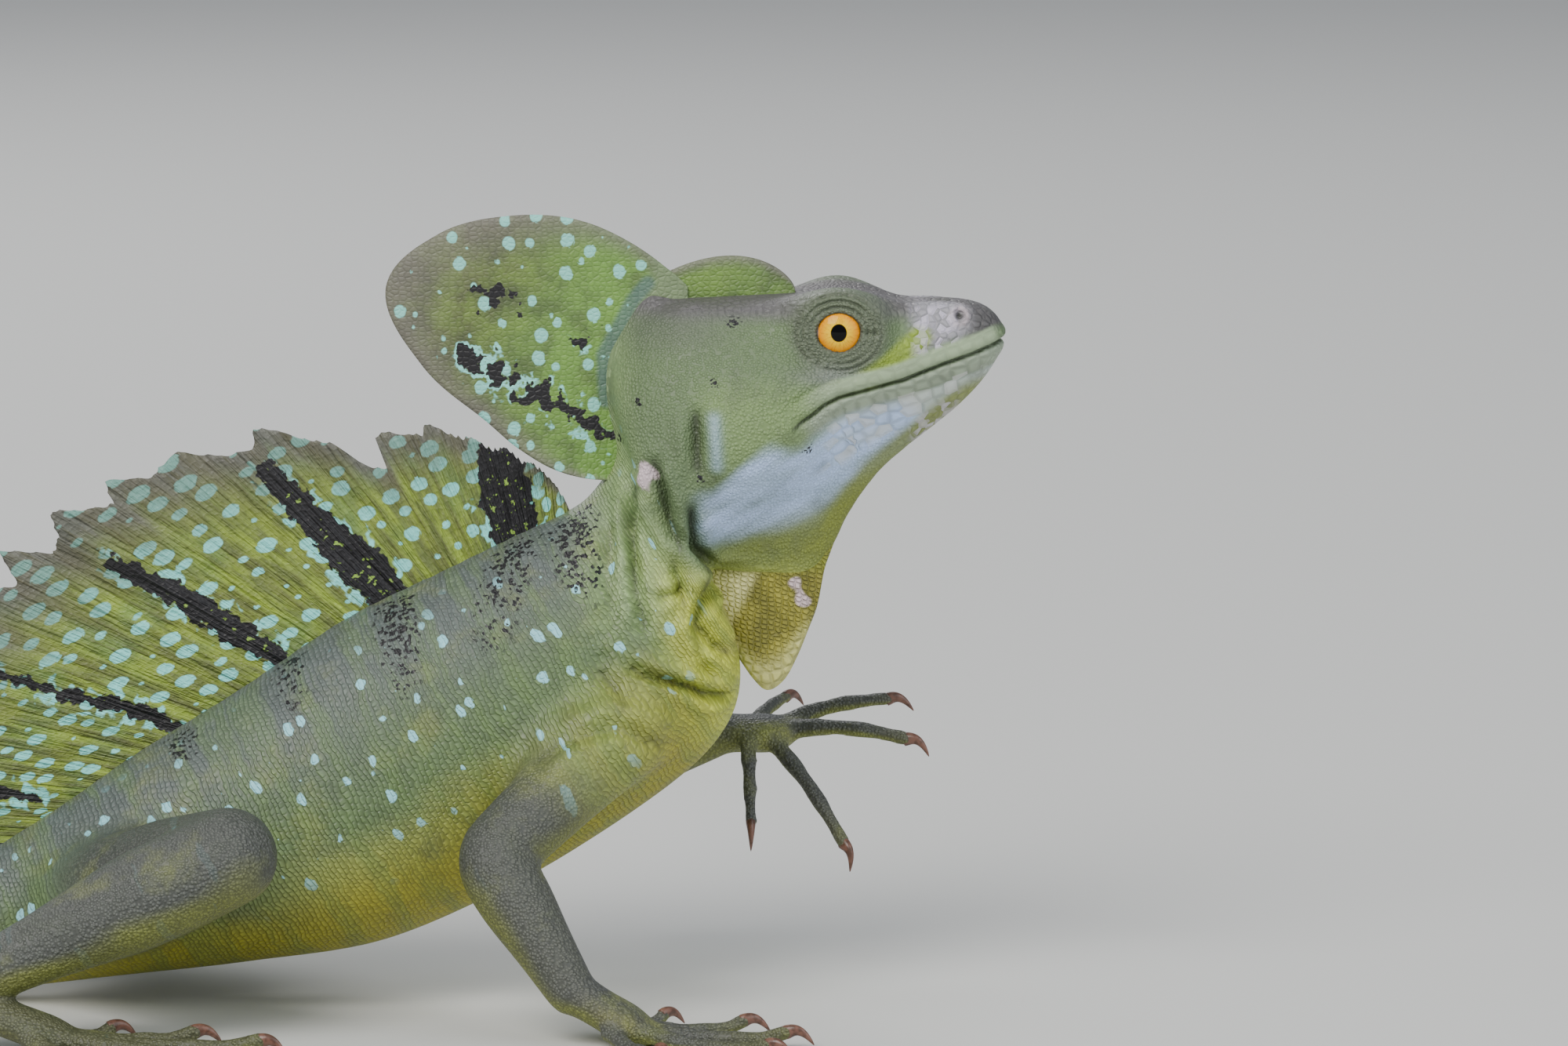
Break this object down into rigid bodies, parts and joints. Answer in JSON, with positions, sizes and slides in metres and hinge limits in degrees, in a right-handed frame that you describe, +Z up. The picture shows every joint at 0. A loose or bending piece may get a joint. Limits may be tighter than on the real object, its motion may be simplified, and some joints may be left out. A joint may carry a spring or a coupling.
{
  "type": "green basilisk",
  "caption": "Life-size adult male green basilisk lizard standing with its head raised and one hand lifted, with head crests, a rayed back sail, a dewlap and a long tail",
  "frame": {"origin": "middle of the underside of the whole animal's box, at floor level", "axes": "+X is where the head points, +Y is the animal's left, +Z is up"},
  "size_m": [0.6092, 0.143, 0.129],
  "materials": {
    "head_skin": "small smooth scales, grey-green with a pale blue cheek and throat",
    "body_skin": "fine scales in rows across the flank, green above and yellow below, with pale blue spots",
    "throat_skin": "loose scaly skin, yellow-olive",
    "crest_skin": "thin scaly skin, olive green with pale blue spots and black flecks",
    "sail_skin": "thin skin over rays, olive yellow with pale blue spots, black bars and a purple-grey rim",
    "tail_skin": "rows of keeled scales, green with darker bands",
    "limb_skin": "fine scales, grey-olive above and yellow-green below",
    "claw": "brown horn, slightly glossy",
    "eye": "wet eye with an orange-yellow iris and a round black pupil"
  },
  "bodies": {
    "root": {"head": "head_skin", "eye_right": "eye", "eye_left": "eye", "head_crest_rear": "crest_skin", "head_crest_front": "crest_skin", "dewlap": "throat_skin", "neck": "body_skin", "torso": "body_skin", "dorsal_sail": "sail_skin", "tail_1": "tail_skin", "tail_2": "tail_skin", "tail_3": "tail_skin", "tail_4": "tail_skin", "tail_crest_1": "sail_skin", "tail_crest_2": "sail_skin", "right_fore_upper_arm": "limb_skin", "right_fore_forearm": "limb_skin", "right_fore_hand": "limb_skin", "left_fore_upper_arm": "limb_skin", "left_fore_forearm": "limb_skin", "left_fore_hand": "limb_skin", "right_hind_thigh": "limb_skin", "right_hind_shank": "limb_skin", "right_hind_foot": "limb_skin", "left_hind_thigh": "limb_skin", "left_hind_shank": "limb_skin", "left_hind_foot": "limb_skin", "right_fore_claw_1": "claw", "right_fore_claw_2": "claw", "right_fore_claw_3": "claw", "right_fore_claw_4": "claw", "right_fore_claw_5": "claw", "left_fore_claw_1": "claw", "left_fore_claw_2": "claw", "left_fore_claw_3": "claw", "left_fore_claw_4": "claw", "left_fore_claw_5": "claw", "right_hind_claw_1": "claw", "right_hind_claw_2": "claw", "right_hind_claw_3": "claw", "right_hind_claw_4": "claw", "right_hind_claw_5": "claw", "left_hind_claw_1": "claw", "left_hind_claw_2": "claw", "left_hind_claw_3": "claw", "left_hind_claw_4": "claw", "left_hind_claw_5": "claw"}
  },
  "joints": []
}
